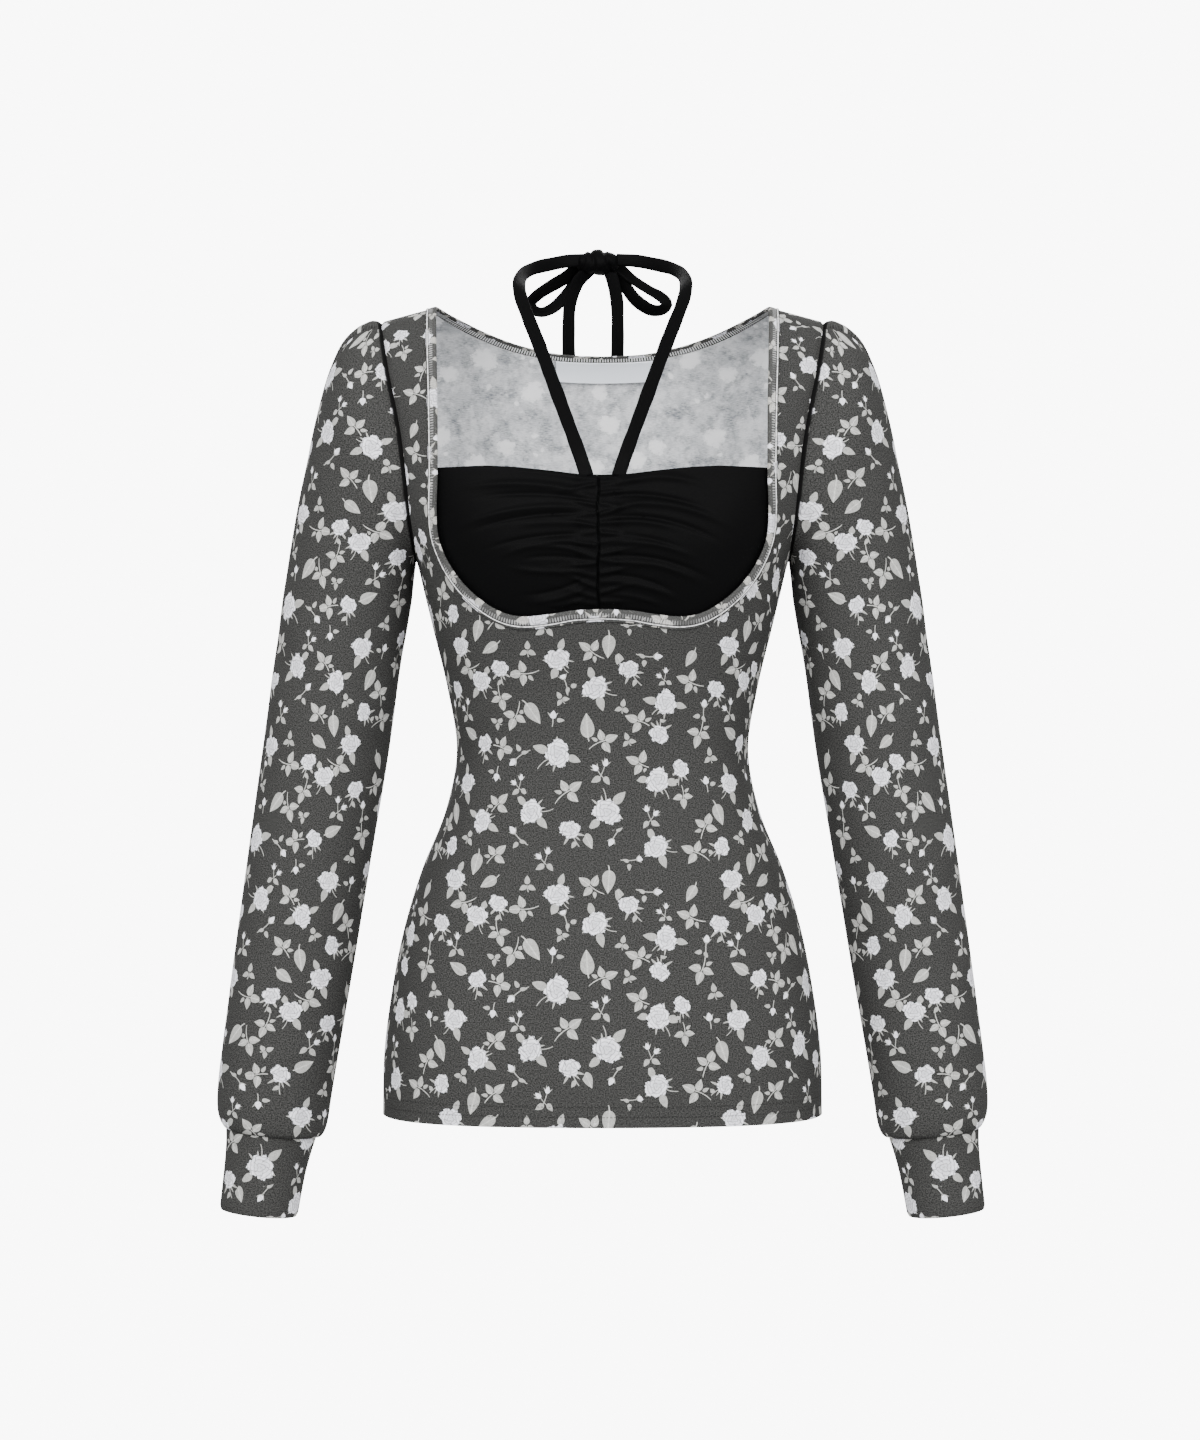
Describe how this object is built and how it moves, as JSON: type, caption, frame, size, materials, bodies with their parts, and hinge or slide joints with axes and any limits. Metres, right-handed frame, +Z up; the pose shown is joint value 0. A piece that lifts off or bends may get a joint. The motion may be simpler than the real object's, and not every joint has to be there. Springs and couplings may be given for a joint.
{
  "type": "long-sleeve top",
  "caption": "Fitted long-sleeve knit top with a flower print, a deep bound neckline, a gathered black bandeau insert, halter ties in a bow at the back neck, and fitted cuffs.",
  "frame": {"origin": "midway between the two neck points of the shoulder seams, where the wearer's shoulders hold the top up", "axes": "+Z up along the body, -Y towards the front, +X towards the right of the front view"},
  "size_m": [0.5364, 0.2197, 0.6817],
  "materials": {
    "print_knit": "brushed knit with a small flower print",
    "print_sleeve": "the same brushed, printed knit, cut for the sleeves and cuffs",
    "binding_knit": "folded knit binding with rib stitching",
    "black_jersey": "smooth matt jersey",
    "woven_label": "satin-woven, blank"
  },
  "bodies": {
    "root": {"front_body": "print_knit", "back_body": "print_knit", "sleeve_left": "print_sleeve", "sleeve_right": "print_sleeve", "cuff_left": "print_sleeve", "cuff_right": "print_sleeve", "neck_binding_front": "binding_knit", "neck_binding_back": "binding_knit", "bandeau_left": "black_jersey", "bandeau_right": "black_jersey", "neck_label": "woven_label", "tie_strap_left": "black_jersey", "tie_strap_right": "black_jersey", "tie_loop_left": "black_jersey", "tie_loop_right": "black_jersey", "tie_tail_left": "black_jersey", "tie_tail_right": "black_jersey", "tie_knot": "black_jersey"}
  },
  "joints": []
}
